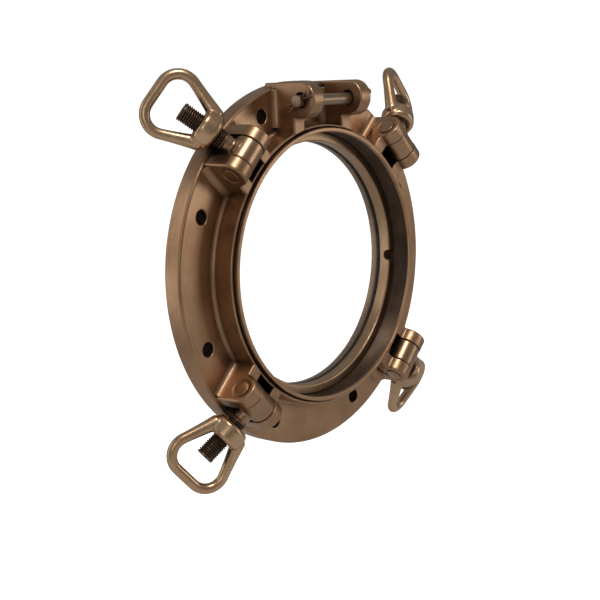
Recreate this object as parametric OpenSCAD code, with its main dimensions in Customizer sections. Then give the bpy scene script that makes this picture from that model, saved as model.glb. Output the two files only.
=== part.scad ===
// Ship's side light (porthole), fixed main frame of cast bronze, with four swing bolts.
// World frame: origin at the centre of the flange's back face, +Z up, +Y into the wall.
// Inside on_face() the local z is the height above the back face, and local y points up.

/* [Flange] */
// Outer diameter of the flange
flange_d = 366; // [350:1:440]
// Thickness of the flange
flange_t = 19.5; // [12:0.5:23]
// Rounding of the flange's front edge
flange_round = 2.5; // [1:0.5:4]
// Chamfer of the flange's back edge
flange_back_chamfer = 1; // [0.5:0.5:2]
// Number of screw holes
screw_n = 8; // [8:8:8]
// Distance of the screw holes' middles in from the flange's edge
screw_in = 20.5; // [19:0.5:21]
// Diameter of a screw hole
screw_hole_d = 14; // [8:0.5:15]
// Chamfer round the mouth of a screw hole
screw_chamfer = 1.2; // [0.5:0.1:2]

/* [Collar] */
// Outer diameter of the collar
collar_d = 280; // [276:1:290]
// Height of the collar's outer shoulder above the back face
shoulder_h = 44; // [36:0.5:48]
// Outer diameter of the raised sealing lip
lip_d = 272.5; // [270:0.5:275]
// Height of the sealing lip above the back face
lip_h = 48; // [45:0.5:52]
// Depth of the groove between the shoulder and the sealing lip
lip_groove = 1.5; // [0.5:0.5:3]
// Rounding of the collar's shoulder
shoulder_round = 1.5; // [0.5:0.5:2]
// Rise of the fillet between the collar and the flange
foot_fillet = 3; // [1:0.5:5]

/* [Glazing] */
// Diameter of the clear opening
clear_d = 246; // [230:1:248]
// Diameter of the threaded bore
bore_d = 265; // [262:1:268]
// Height of the glazing seat above the back face
seat_h = 9.5; // [7:0.5:12]
// Thickness of the glass
glass_t = 3; // [2:0.5:5]
// How far the glass reaches under the seat on each side
glass_bite = 5; // [3:0.5:6]
// Thickness of each lip of the glazing gasket
gasket_lip = 0.6; // [0.4:0.1:1]
// Thickness of the gasket's outer web
gasket_web = 1.6; // [1:0.1:2]
// Height of the retaining ring
ring_t = 12.5; // [9:0.5:14]
// Gap between the ring and the bore that its thread fills
ring_clear = 0.2; // [0.1:0.05:0.4]
// Chamfer of the retaining ring's inner edge
ring_chamfer = 1.6; // [0.5:0.1:2.5]
// Width of a spanner notch in the ring
notch_w = 11; // [6:0.5:14]
// Depth of a spanner notch, from the ring's front face
notch_depth = 7.5; // [5.6:0.1:9]
// How far the ring is turned from level
ring_turn = -3; // [-45:1:45]

/* [Bolt lugs] */
// Angle of the right-hand lugs above and below level
lug_angle_right = 43.75; // [40:0.25:50]
// Angle of the left-hand lugs above and below level
lug_angle_left = 45.5; // [40:0.25:50]
// Distance of the pivot axis in from the flange's edge
pivot_in = 18.5; // [16:0.5:20]
// Height of the pivot axis above the back face
pivot_h = 44; // [38:0.5:50]
// Radius of the lug's rounded end
lug_r = 15; // [13:0.5:17]
// Thickness of one ear of the lug
ear_t = 13.5; // [9:0.5:16]
// Width of the bolt's eye
eye_w = 23.5; // [16:0.5:26]
// Gap on each side of the eye
eye_side_clear = 0.4; // [0.3:0.05:0.6]
// Height above the back face at which the lug runs into the collar
lug_bridge_h = 44.5; // [38:0.5:46]
// Diameter of a pivot pin
pivot_pin_d = 16; // [10:0.5:17]
// How far a pivot pin stands proud of its lug
pivot_pin_proud = 0.8; // [0.3:0.1:2]
// Radial gap between a pivot pin and the bolt's eye
pivot_clear = 0.08; // [0.05:0.01:0.15]

/* [Swing bolts] */
// Nominal diameter of the bolt's thread
thread_d = 18.5; // [16:0.5:20]
// Diameter of the bolt's plain neck
neck_d = 15.5; // [12:0.5:16]
// Distance from the pivot axis to the end of the plain neck
neck_len = 23; // [20:0.5:26]
// Distance from the pivot axis to the bolt's tip
bolt_len = 70.5; // [60:0.5:78]
// Radius of the bolt's eye
eye_r = 14.5; // [12.5:0.5:16]
// Chamfer at the bolt's tip
tip_chamfer = 1.5; // [0.5:0.1:2.5]
// Angle of the upper right bolt behind the flange's plane
tilt_upper_right = 26.5; // [10:0.5:27]
// Angle of the upper left bolt behind the flange's plane
tilt_upper_left = 31.5; // [10:0.5:31.5]
// Angle of the lower left bolt behind the flange's plane
tilt_lower_left = 22.5; // [10:0.5:28]
// Angle of the lower right bolt behind the flange's plane
tilt_lower_right = 26; // [10:0.5:28]

/* [Loop nuts] */
// Distance from the pivot axis to each nut's foot: upper right, upper left, lower left, lower right
nut_at = [28.5, 31.5, 28.5, 29.5]; // [28.5:0.5:34]
// Radius of the nut's boss
boss_r = 17.5; // [14:0.5:19]
// Height of the nut's boss
boss_h = 19; // [14:0.5:24]
// Chamfer of the boss's foot
boss_chamfer = 3; // [2:0.1:4]
// Radial gap between the nut's bore and the bolt
nut_clear = 0.08; // [0.05:0.01:0.15]
// Diameter of the loop's rod along its far bar
rod_d = 10.4; // [7:0.1:12]
// Diameter of a leg where it leaves the boss
leg_root_d = 14; // [11:0.5:16]
// Height of the loop above the boss, to the middle of its far bar
loop_h = 48.5; // [40:0.5:60]
// Half width of the loop at its far bar, to the middle of the rod
loop_half_w = 29.5; // [24:0.5:34]
// Bend radius of the loop's corners, to the middle of the rod
loop_bend = 18; // [8:0.5:20]
// Distance of a leg's middle from the bolt's axis where it leaves the boss
leg_root = 15; // [12:0.5:16]
// Turn of each nut about its bolt: upper right, upper left, lower left, lower right
nut_turn = [3, -23, 19, 10]; // [-180:1:180]

/* [Hinge] */
// Distance of the hinge lugs' axis in from the flange's edge
hinge_in = 18.5; // [16:0.5:20]
// Height of the hinge pin's axis above the back face
hinge_h = 53; // [44:0.5:56]
// Radius of a hinge lug's rounded end
hinge_r = 17.5; // [14:0.5:18]
// Gap between the two hinge lugs
hinge_gap = 56; // [40:0.5:60]
// Thickness of one hinge lug
hinge_lug_t = 15.75; // [10:0.25:18]
// Height above the back face of the hinge lugs' feet, where they overhang the flange
hinge_foot_h = 7.5; // [5:0.5:10]
// Diameter of the hinge pin
hinge_pin_d = 12; // [8:0.5:14]
// How far the hinge pin stands out of each lug
hinge_pin_out = 7; // [6:0.5:12]
// Radial gap between the loose hinge pin and its lugs
hinge_clear = 1; // [0.3:0.1:1.5]
// Gap left under the hinge pin where it rests in its lugs
hinge_rest = 0.15; // [0.05:0.05:0.2]
// Diameter of a cotter's folded shank
cotter_d = 3; // [2:0.1:3.5]
// Diameter of a cotter's single wire
cotter_wire_d = 1.8; // [1:0.1:2]
// Length of a cotter's eye
cotter_eye_len = 9; // [6:0.5:12]
// Half width of a cotter's eye, to the middle of its wire
cotter_eye_r = 2.4; // [1.5:0.1:3]
// Lean of the cotters' eyes, up from level
cotter_lean = 28; // [0:1:60]

/* [Hidden] */

$fn = 96;
// Overrun of a cut past the face that it opens
over = 1;
bronze = "#8a6b50";
nut_bronze = "#a07a55";
steel_brown = "#54463c";

// The four corners, in the order of NODES
UPPER_RIGHT = 0;
UPPER_LEFT = 1;
LOWER_LEFT = 2;
LOWER_RIGHT = 3;
tilts = [tilt_upper_right, tilt_upper_left, tilt_lower_left, tilt_lower_right];
function corner_angle(k) = [
    lug_angle_right,
    180 - lug_angle_left,
    180 + lug_angle_left,
    360 - lug_angle_right
][k];

flange_r = flange_d / 2;
// Radii of the screw holes' circle and of the bolts' pivot axes, and height of the hinge lugs' axis
screw_circle_r = flange_r - screw_in;
pivot_r = flange_r - pivot_in;
hinge_z = flange_r - hinge_in;
collar_r = collar_d / 2;
lip_r = lip_d / 2;
bore_r = bore_d / 2;
clear_r = clear_d / 2;
// Small chamfer on the two edges of the sealing lip
lip_chamfer = 0.5;
// Chamfer of the clear opening at the back
back_chamfer = 3;

// The glazing stacks up from its seat: gasket lip, glass, gasket lip, ring
glass_at = seat_h + gasket_lip;
ring_at = glass_at + glass_t + gasket_lip;
ring_top = ring_at + ring_t;
glass_r = clear_r + glass_bite;
rebate_r = glass_r + gasket_web;
// Gap between the glass and the gasket's web
glass_edge_clear = 0.3;

// A double lug is two ears and the slot between them
slot_w = eye_w + 2 * eye_side_clear;
lug_w = slot_w + 2 * ear_t;
// The shallow ring sunk round the end of a pivot pin
spot_d = pivot_pin_d + 5;
spot_depth = 0.6;
// The lugs stop inside the collar's wall, short of its groove
lug_inner_r = collar_r - shoulder_round;

pivot_pin_len = lug_w + 2 * pivot_pin_proud;
pin_chamfer = 0.6;
eye_chamfer = 0.8;

hinge_pin_len = hinge_gap + 2 * (hinge_lug_t + hinge_pin_out);
// Distance of a cotter from the hinge pin's middle
cotter_at = hinge_gap / 2 + hinge_lug_t + hinge_pin_out / 2;
cotter_clear = 0.1;
// How much thicker a cotter's wire is round its eye
cotter_swell = 0.2;
cotter_leg = 8;
cotter_spread = 16;
// How far the hinge pin's axis drops below that of its lugs
hinge_drop = hinge_clear - hinge_rest;

// How much thicker the loop's rod is round its bends than along its straights
bend_swell = 0.4;
// How far a straight runs into the bend that it meets
rod_lap = 1;

// Points of an arc about c, from angle a to angle b
function arc(c, r, a, b, n = 8) =
    [for (i = [0:n]) c + r * [cos(a + (b - a) * i / n), sin(a + (b - a) * i / n)]];

// Stands local z on the back face, pointing out of the wall, with local y up
module on_face() {
    rotate([90, 0, 0]) children();
}

// A round bar along z, centred, with a chamfer at both ends
module chamfered_bar(r, h, c) {
    union() {
        cylinder(r = r, h = h - 2 * c, center = true);
        for (side = [0, 1])
            mirror([0, 0, side])
                translate([0, 0, h / 2 - c])
                    cylinder(r1 = r, r2 = r - c, h = c);
    }
}

// Half section of the casting's turned body, as radius and height
function frame_section() = concat(
    [[clear_r + back_chamfer, 0], [flange_r - flange_back_chamfer, 0], [flange_r, flange_back_chamfer]],
    arc([flange_r - flange_round, flange_t - flange_round], flange_round, 0, 90),
    arc([collar_r + foot_fillet, flange_t + foot_fillet], foot_fillet, 270, 180),
    arc([collar_r - shoulder_round, shoulder_h - shoulder_round], shoulder_round, 0, 90),
    [
        [lip_r + lip_groove, shoulder_h - lip_groove],
        [lip_r, shoulder_h - lip_groove],
        [lip_r, lip_h - lip_chamfer],
        [lip_r - lip_chamfer, lip_h],
        [bore_r + lip_chamfer, lip_h],
        [bore_r, lip_h - lip_chamfer],
        [bore_r, ring_at],
        [rebate_r, ring_at],
        [rebate_r, seat_h],
        [clear_r, seat_h],
        [clear_r, back_chamfer]
    ]
);

// Side view of a lug, with its rounded end at [r, h] and its foot in the flange at height foot_h
module lug_side(r, h, end_r, bridge_h, foot_h) {
    union() {
        translate([r, h]) circle(r = end_r);
        polygon([
            [0, foot_h],
            [r + end_r, foot_h],
            [r + end_r, h],
            [r, h],
            [r, bridge_h],
            [0, bridge_h]
        ]);
    }
}

// A lug of width w standing across local y, centred, without its holes
module lug_block(r, h, end_r, bridge_h, foot_h, w) {
    rotate([90, 0, 0])
        linear_extrude(height = w, center = true)
            lug_side(r, h, end_r, bridge_h, foot_h);
}

// One swing bolt's double lug, along local x
module double_lug() {
    difference() {
        lug_block(pivot_r, pivot_h, lug_r, lug_bridge_h, flange_t - over, lug_w);
        translate([0, -slot_w / 2, flange_t])
            cube([flange_r, slot_w, pivot_h + lug_r]);
        translate([pivot_r, 0, pivot_h])
            rotate([90, 0, 0]) {
                cylinder(d = pivot_pin_d, h = lug_w + 2 * over, center = true);
                for (side = [-1, 1])
                    translate([0, 0, side * lug_w / 2])
                        cylinder(d = spot_d, h = 2 * spot_depth, center = true);
            }
    }
}

// The pair of hinge lugs, along local y
module hinge_lugs() {
    for (side = [-1, 1])
        translate([side * (hinge_gap + hinge_lug_t) / 2, 0, 0])
            rotate([0, 0, 90])
                difference() {
                    lug_block(hinge_z, hinge_h, hinge_r, lug_bridge_h, hinge_foot_h, hinge_lug_t);
                    translate([hinge_z, 0, hinge_h])
                        rotate([90, 0, 0])
                            cylinder(
                                d = hinge_pin_d + 2 * hinge_clear,
                                h = hinge_lug_t + 2 * over,
                                center = true
                            );
                }
}

// One screw hole with its chamfered mouth, on local z
module screw_hole() {
    translate([0, 0, -over]) cylinder(d = screw_hole_d, h = flange_t + 2 * over);
    translate([0, 0, flange_t - screw_chamfer])
        cylinder(d1 = screw_hole_d, d2 = screw_hole_d + 2 * screw_chamfer, h = screw_chamfer);
    translate([0, 0, flange_t])
        cylinder(d = screw_hole_d + 2 * screw_chamfer, h = over);
}

module main_frame() {
    color(bronze) on_face() difference() {
        union() {
            rotate_extrude() polygon(frame_section());
            difference() {
                union() {
                    for (k = [UPPER_RIGHT:LOWER_RIGHT])
                        rotate([0, 0, corner_angle(k)]) double_lug();
                    hinge_lugs();
                }
                translate([0, 0, -over]) cylinder(r = lug_inner_r, h = lip_h + 2 * over);
            }
        }
        for (i = [0:screw_n - 1])
            rotate([0, 0, (i + 0.5) * 360 / screw_n])
                translate([screw_circle_r, 0, 0])
                    screw_hole();
    }
}

module glass_pane() {
    color("#dfe9e6", 0.4) on_face()
        translate([0, 0, glass_at])
            cylinder(r = glass_r - glass_edge_clear, h = glass_t);
}

module glazing_gasket() {
    color("#161412") on_face()
        translate([0, 0, seat_h])
            rotate_extrude()
                difference() {
                    translate([clear_r, 0]) square([rebate_r - clear_r, ring_at - seat_h]);
                    translate([clear_r - over, gasket_lip]) square([glass_bite + over, glass_t]);
                }
}

// A spanner notch across the ring's front face, with a round bottom, along local x
module spanner_notch() {
    floor_z = ring_top - notch_depth + notch_w / 2;
    translate([clear_r - over, 0, floor_z]) {
        rotate([0, 90, 0]) cylinder(d = notch_w, h = bore_r - clear_r + 2 * over);
        translate([0, -notch_w / 2, 0])
            cube([bore_r - clear_r + 2 * over, notch_w, notch_depth]);
    }
}

module retaining_ring() {
    ring_r = bore_r - ring_clear;
    color(bronze) on_face() rotate([0, 0, ring_turn]) difference() {
        rotate_extrude() polygon([
            [clear_r, ring_at],
            [ring_r, ring_at],
            [ring_r, ring_top - ring_chamfer / 2],
            [ring_r - ring_chamfer / 2, ring_top],
            [clear_r + ring_chamfer, ring_top],
            [clear_r, ring_top - ring_chamfer]
        ]);
        for (a = [0, 180]) rotate([0, 0, a]) spanner_notch();
    }
}

// Puts its children on corner k's pivot axis, which is local y, with local x outward
module at_pivot(k) {
    on_face() rotate([0, 0, corner_angle(k)]) translate([pivot_r, 0, pivot_h]) children();
}

module pivot_pin(k) {
    color(bronze) at_pivot(k) rotate([90, 0, 0])
        chamfered_bar(pivot_pin_d / 2, pivot_pin_len, pin_chamfer);
}

// Swings its children with bolt k, whose own axis is local x
module on_bolt(k) {
    at_pivot(k) rotate([0, tilts[k], 0]) children();
}

module swing_bolt(k) {
    color(steel_brown) on_bolt(k) difference() {
        union() {
            rotate([90, 0, 0]) chamfered_bar(eye_r, eye_w, eye_chamfer);
            rotate([0, 90, 0]) cylinder(d = neck_d, h = neck_len + over);
            translate([neck_len, 0, 0])
                rotate([0, 90, 0])
                    cylinder(d = thread_d, h = bolt_len - tip_chamfer - neck_len);
            translate([bolt_len - tip_chamfer, 0, 0])
                rotate([0, 90, 0])
                    cylinder(d1 = thread_d, d2 = thread_d - 2 * tip_chamfer, h = tip_chamfer);
        }
        rotate([90, 0, 0])
            cylinder(d = pivot_pin_d + 2 * pivot_clear, h = eye_w + 2 * over, center = true);
    }
}

// A straight stretch of the loop's rod in the local xy plane, from p to a little past q
module rod(p, q, start_d) {
    run = q - p;
    translate([p.x, p.y, 0])
        rotate([0, 0, atan2(run.y, run.x)])
            rotate([0, 90, 0])
                cylinder(d1 = start_d, d2 = rod_d, h = norm(run) + rod_lap);
}

// The loop's legs spread from the boss, bend round two corners and close in a far bar; x = 0 is the foot
module nut_loop() {
    root = [boss_h / 2, leg_root];
    bend = [boss_h + loop_h - loop_bend, loop_half_w - loop_bend];
    span = bend - root;
    spread = atan2(span.y, span.x) + asin(loop_bend / norm(span));
    foot = bend + loop_bend * [-sin(spread), cos(spread)];
    for (side = [0, 1])
        mirror([0, side, 0]) {
            rod(root, foot, leg_root_d);
            translate([bend.x, bend.y, 0])
                rotate_extrude(angle = spread + 90)
                    translate([loop_bend, 0])
                        circle(d = rod_d + bend_swell);
        }
    rod([bend.x + loop_bend, -bend.y - rod_lap], [bend.x + loop_bend, bend.y], rod_d);
}

module loop_nut(k) {
    color(nut_bronze) on_bolt(k) translate([nut_at[k], 0, 0]) rotate([nut_turn[k], 0, 0]) difference() {
        union() {
            translate([boss_h / 2, 0, 0])
                rotate([0, 90, 0])
                    chamfered_bar(boss_r, boss_h, boss_chamfer);
            nut_loop();
        }
        translate([-over, 0, 0])
            rotate([0, 90, 0])
                cylinder(d = thread_d + 2 * nut_clear, h = boss_h + 2 * over);
    }
}

// Puts its children on the hinge pin's axis, which is local x
module at_hinge() {
    on_face() translate([0, hinge_z - hinge_drop, hinge_h]) children();
}

// Puts its children on one cotter's axis, which is local z, with its eye on +z
module at_cotter(side) {
    translate([side * cotter_at, 0, 0]) rotate([-cotter_lean, 0, 0]) children();
}

module hinge_pin() {
    color(bronze) at_hinge() difference() {
        rotate([0, 90, 0]) chamfered_bar(hinge_pin_d / 2, hinge_pin_len, pin_chamfer);
        for (side = [-1, 1])
            at_cotter(side)
                cylinder(d = cotter_d + 2 * cotter_clear, h = hinge_pin_d + 2 * over, center = true);
    }
}

// A cotter's wire from the shank at height z, leaning by angle a
module cotter_wire(z, a, h) {
    translate([0, 0, z]) rotate([a, 0, 0]) cylinder(d = cotter_wire_d, h = h);
}

// A split cotter through the hinge pin, with a long eye above it and its two legs spread below
module hinge_cotter(side) {
    reach = hinge_pin_d / 2;
    neck = [0, reach];
    bend = [cotter_eye_r, reach + cotter_eye_len - cotter_eye_r];
    eye_lean = atan2(bend.x, bend.y - neck.y);
    color(steel_brown) at_hinge() at_cotter(side) {
        cylinder(d = cotter_d, h = 2 * reach + cotter_d, center = true);
        translate([0, 0, bend.y])
            rotate([90, 0, 90])
                rotate_extrude(angle = 180)
                    translate([cotter_eye_r, 0])
                        circle(d = cotter_wire_d + cotter_swell);
        for (leg = [-1, 1]) {
            cotter_wire(neck.y, leg * eye_lean, norm(bend - neck) + cotter_swell);
            cotter_wire(-reach, 180 + leg * cotter_spread, cotter_leg);
        }
    }
}

module pivot_pin_upper_right() { pivot_pin(UPPER_RIGHT); }
module pivot_pin_upper_left() { pivot_pin(UPPER_LEFT); }
module pivot_pin_lower_left() { pivot_pin(LOWER_LEFT); }
module pivot_pin_lower_right() { pivot_pin(LOWER_RIGHT); }
module swing_bolt_upper_right() { swing_bolt(UPPER_RIGHT); }
module swing_bolt_upper_left() { swing_bolt(UPPER_LEFT); }
module swing_bolt_lower_left() { swing_bolt(LOWER_LEFT); }
module swing_bolt_lower_right() { swing_bolt(LOWER_RIGHT); }
module loop_nut_upper_right() { loop_nut(UPPER_RIGHT); }
module loop_nut_upper_left() { loop_nut(UPPER_LEFT); }
module loop_nut_lower_left() { loop_nut(LOWER_LEFT); }
module loop_nut_lower_right() { loop_nut(LOWER_RIGHT); }
module hinge_cotter_left() { hinge_cotter(-1); }
module hinge_cotter_right() { hinge_cotter(1); }

main_frame();
glass_pane();
glazing_gasket();
retaining_ring();
pivot_pin_upper_right();
pivot_pin_upper_left();
pivot_pin_lower_left();
pivot_pin_lower_right();
swing_bolt_upper_right();
swing_bolt_upper_left();
swing_bolt_lower_left();
swing_bolt_lower_right();
loop_nut_upper_right();
loop_nut_upper_left();
loop_nut_lower_left();
loop_nut_lower_right();
hinge_pin();
hinge_cotter_left();
hinge_cotter_right();
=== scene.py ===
"""Visual model of a bronze side light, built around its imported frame.

A flanged casting carries eight wall holes, four double lugs and a pair of hinge lugs. A clear pane sits
in a rubber channel behind a screwed ring. Four eye bolts swing on pins, and each carries a loop nut.
Shapes are worked out in millimetres on the back face of the flange and placed in metres at the end.
"""
import logging
import math
from dataclasses import dataclass, field
from enum import Enum
from typing import Callable, Sequence

import bmesh
import bpy
from mathutils import Matrix, Vector


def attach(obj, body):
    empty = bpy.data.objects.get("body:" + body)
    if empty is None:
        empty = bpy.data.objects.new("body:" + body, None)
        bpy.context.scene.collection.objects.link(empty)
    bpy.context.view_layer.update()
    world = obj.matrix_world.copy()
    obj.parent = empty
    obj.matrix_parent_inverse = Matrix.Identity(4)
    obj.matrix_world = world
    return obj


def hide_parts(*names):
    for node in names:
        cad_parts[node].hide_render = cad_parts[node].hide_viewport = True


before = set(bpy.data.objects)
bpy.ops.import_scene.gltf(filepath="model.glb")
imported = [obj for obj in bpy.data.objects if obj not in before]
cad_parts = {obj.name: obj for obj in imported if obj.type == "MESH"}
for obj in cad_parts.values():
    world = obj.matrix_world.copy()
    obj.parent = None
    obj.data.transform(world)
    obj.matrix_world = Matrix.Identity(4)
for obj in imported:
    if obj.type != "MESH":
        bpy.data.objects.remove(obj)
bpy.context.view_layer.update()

LOG = logging.getLogger("side_light")

MM = 0.001
TAU = 2 * math.pi
# From millimetres on the back face (x right, y up, z out of the wall) to the scene's metres
ON_FACE = Matrix(((MM, 0, 0, 0), (0, 0, -MM, 0), (0, MM, 0, 0), (0, 0, 0, 1)))

Point2 = tuple[float, float]
Rgb = tuple[float, float, float]


# ---------------------------------------------------------------- corners and places

class Corner(Enum):
    """The four corners of the frame: name, bearing, bolt tilt, nut foot distance and nut turn."""

    UPPER_RIGHT = ("upper_right", 43.75, 26.5, 28.5, 3.0)
    UPPER_LEFT = ("upper_left", 134.5, 31.5, 31.5, -23.0)
    LOWER_LEFT = ("lower_left", 225.5, 22.5, 28.5, 19.0)
    LOWER_RIGHT = ("lower_right", 316.25, 26.0, 29.5, 10.0)

    def __init__(self, label: str, bearing: float, tilt: float, nut_at: float, nut_turn: float) -> None:
        """Keeps the corner's label, its angles in degrees and its distance in millimetres."""
        self.label = label
        self.bearing = bearing
        self.tilt = tilt
        self.nut_at = nut_at
        self.nut_turn = nut_turn


def turn(degrees: float, axis: str) -> Matrix:
    """A rotation about one local axis."""
    return Matrix.Rotation(math.radians(degrees), 4, axis)


def shift(x: float = 0, y: float = 0, z: float = 0) -> Matrix:
    """A move in millimetres."""
    return Matrix.Translation((x, y, z))


# ---------------------------------------------------------------- outlines and surfaces

def arc(centre: Point2, radius: float, start: float, end: float, steps: int = 6) -> list[Point2]:
    """Points of an arc.

    Args:
        centre: middle of the arc.
        radius: its radius.
        start: first angle in degrees.
        end: last angle in degrees.
        steps: number of chords.

    Returns:
        steps + 1 points, first angle first.
    """
    angles = (math.radians(start + (end - start) * i / steps) for i in range(steps + 1))
    return [(centre[0] + radius * math.cos(a), centre[1] + radius * math.sin(a)) for a in angles]


def inset(outline: Sequence[Point2], depth: float) -> list[Point2]:
    """Moves a counterclockwise outline inward.

    Args:
        outline: the closed outline.
        depth: how far each edge moves.

    Returns:
        The smaller outline, point for point.
    """
    moved = []
    count = len(outline)
    for i, (x, y) in enumerate(outline):
        before, after = outline[i - 1], outline[(i + 1) % count]
        first = Vector((x - before[0], y - before[1])).normalized()
        second = Vector((after[0] - x, after[1] - y)).normalized()
        normal = Vector((-first.y - second.y, first.x + second.x))
        scale = depth / max(1 + first.dot(second), 0.2)
        moved.append((x + normal.x * scale, y + normal.y * scale))
    return moved


def spline(points: Sequence[Vector], steps: int = 8) -> list[Vector]:
    """A smooth open path through its points.

    Args:
        points: the points to pass through.
        steps: pieces between two of them.

    Returns:
        The points of the path.
    """
    ends = [2 * points[0] - points[1], *points, 2 * points[-1] - points[-2]]
    path = []
    for a, b, c, d in zip(ends, ends[1:], ends[2:], ends[3:]):
        for i in range(steps):
            t = i / steps
            path.append(0.5 * (2 * b + (c - a) * t + (2 * a - 5 * b + 4 * c - d) * t ** 2
                               + (3 * b - a - 3 * c + d) * t ** 3))
    return path + [points[-1].copy()]


@dataclass
class Surface:
    """A closed surface in millimetres: its points and its faces."""

    points: list[Vector] = field(default_factory=list)
    faces: list[tuple[int, ...]] = field(default_factory=list)

    def placed(self, matrix: Matrix) -> "Surface":
        """The same surface in another place."""
        return Surface([matrix @ p for p in self.points], self.faces)

    def with_(self, *others: "Surface") -> "Surface":
        """This surface and others as one mesh, not yet united."""
        points, faces = list(self.points), list(self.faces)
        for other in others:
            start = len(points)
            points += other.points
            faces += [tuple(start + i for i in face) for face in other.faces]
        return Surface(points, faces)

    def as_object(self, name: str) -> bpy.types.Object:
        """Makes a mesh object with its normals outward.

        Args:
            name: name of the object and its mesh.

        Returns:
            The object, still in millimetres.
        """
        mesh = bpy.data.meshes.new(name)
        mesh.from_pydata([tuple(p) for p in self.points], [], self.faces)
        work = bmesh.new()
        work.from_mesh(mesh)
        bmesh.ops.recalc_face_normals(work, faces=work.faces)
        work.to_mesh(mesh)
        work.free()
        made = bpy.data.objects.new(name, mesh)
        bpy.context.scene.collection.objects.link(made)
        return made


def lathe(section: Sequence[Point2], segments: int = 96,
          swell: Callable[[float, float, float], float] | None = None) -> Surface:
    """Turns a section about z.

    Args:
        section: radius and height of each point. It starts and ends on the axis, or else it closes on itself.
        segments: number of steps round the axis.
        swell: extra radius at an angle, a radius and a height.

    Returns:
        The closed surface.
    """
    points: list[Vector] = []
    rings: list[list[int]] = []
    for radius, height in section:
        first = len(points)
        if radius < 1e-6:
            points.append(Vector((0, 0, height)))
        else:
            for j in range(segments):
                angle = TAU * j / segments
                r = radius + (swell(angle, radius, height) if swell else 0)
                points.append(Vector((r * math.cos(angle), r * math.sin(angle), height)))
        rings.append(list(range(first, len(points))))
    pairs = list(zip(rings, rings[1:]))
    if len(rings[0]) > 1:
        pairs.append((rings[-1], rings[0]))
    faces: list[tuple[int, ...]] = []
    for low, high in pairs:
        for j in range(segments):
            k = (j + 1) % segments
            if len(low) == 1:
                faces.append((low[0], high[j], high[k]))
            elif len(high) == 1:
                faces.append((low[j], high[0], low[k]))
            else:
                faces.append((low[j], high[j], high[k], low[k]))
    return Surface(points, faces)


def rod(radius: float, low: float, high: float, segments: int = 64) -> Surface:
    """A plain cylinder on z, from one height to another."""
    return lathe([(0, low), (radius, low), (radius, high), (0, high)], segments)


def bore(radius: float, low: float, high: float, mouth: float) -> Surface:
    """Cuts a hole on z through a wall, with a bevelled mouth on both faces.

    Args:
        radius: radius of the hole.
        low: height of the wall's lower face.
        high: height of its upper face.
        mouth: width of each bevel.

    Returns:
        The cutter, which reaches past both faces.
    """
    over, wide = 2.0, radius + mouth
    return lathe([(0, low - over), (wide + over, low - over), (wide, low), (radius, low + mouth),
                  (radius, high - mouth), (wide, high), (wide + over, high + over), (0, high + over)], 64)


def both_ends(end: list[Point2]) -> list[Point2]:
    """The section of a pin from the section of its upper end."""
    return [(r, -h) for r, h in end[::-1]] + end


def prism(outline: Sequence[Point2], low: float, high: float, low_rim: float = 0, high_rim: float = 0,
          steps: int = 4) -> Surface:
    """Raises an outline along z, with rounded rims.

    Args:
        outline: the counterclockwise outline.
        low: height of the lower face.
        high: height of the upper face.
        low_rim: radius of the lower rim, or 0 for a sharp one.
        high_rim: radius of the upper rim, or 0 for a sharp one.
        steps: chords in a rim.

    Returns:
        The closed surface.
    """
    layers: list[tuple[float, float]] = []
    for rim, base, way in ((low_rim, low, 1), (high_rim, high, -1)):
        part = [(0.0, base)]
        if rim:
            quarter = [math.radians(90 * i / steps) for i in range(steps + 1)]
            part = [(rim * (1 - math.sin(a)), base + way * rim * (1 - math.cos(a))) for a in quarter]
        layers += part if way > 0 else part[::-1]
    count = len(outline)
    points = [Vector((x, y, z)) for depth, z in layers for x, y in inset(outline, depth)]
    faces = [tuple(range(count))[::-1], tuple(range(len(points) - count, len(points)))]
    for layer in range(len(layers) - 1):
        a, b = layer * count, (layer + 1) * count
        faces += [(a + i, a + (i + 1) % count, b + (i + 1) % count, b + i) for i in range(count)]
    return Surface(points, faces)


def tube(path: Sequence[Vector], radii: Sequence[float], sides: int = 20) -> Surface:
    """Sweeps a round wire along an open path that lies in one plane.

    Args:
        path: middle of the wire.
        radii: radius of the wire at each point.
        sides: points round the wire.

    Returns:
        The closed surface, with domed ends.
    """
    plane = max(((b - a).cross(c - b) for a, b, c in zip(path, path[1:], path[2:])), key=lambda v: v.length)
    plane.normalize()
    last = len(path) - 1
    dome = ((0.42, 0.72), (0.55, 0.25))
    rings: list[tuple[Vector, Vector, float]] = []
    for i, (p, r) in enumerate(zip(path, radii)):
        along = (path[min(i + 1, last)] - path[max(i - 1, 0)]).normalized()
        if i == 0:
            rings += [(p - along * r * out, along, r * size) for out, size in dome[::-1]]
        rings.append((p, along, r))
        if i == last:
            rings += [(p + along * r * out, along, r * size) for out, size in dome]
    points = []
    for p, along, r in rings:
        across = along.cross(plane)
        for j in range(sides):
            a = TAU * j / sides
            points.append(p + (across * math.cos(a) + plane * math.sin(a)) * r)
    faces = [tuple(range(sides))[::-1], tuple(range(len(points) - sides, len(points)))]
    for i in range(len(rings) - 1):
        a, b = i * sides, (i + 1) * sides
        faces += [(a + j, a + (j + 1) % sides, b + (j + 1) % sides, b + j) for j in range(sides)]
    return Surface(points, faces)


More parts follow.
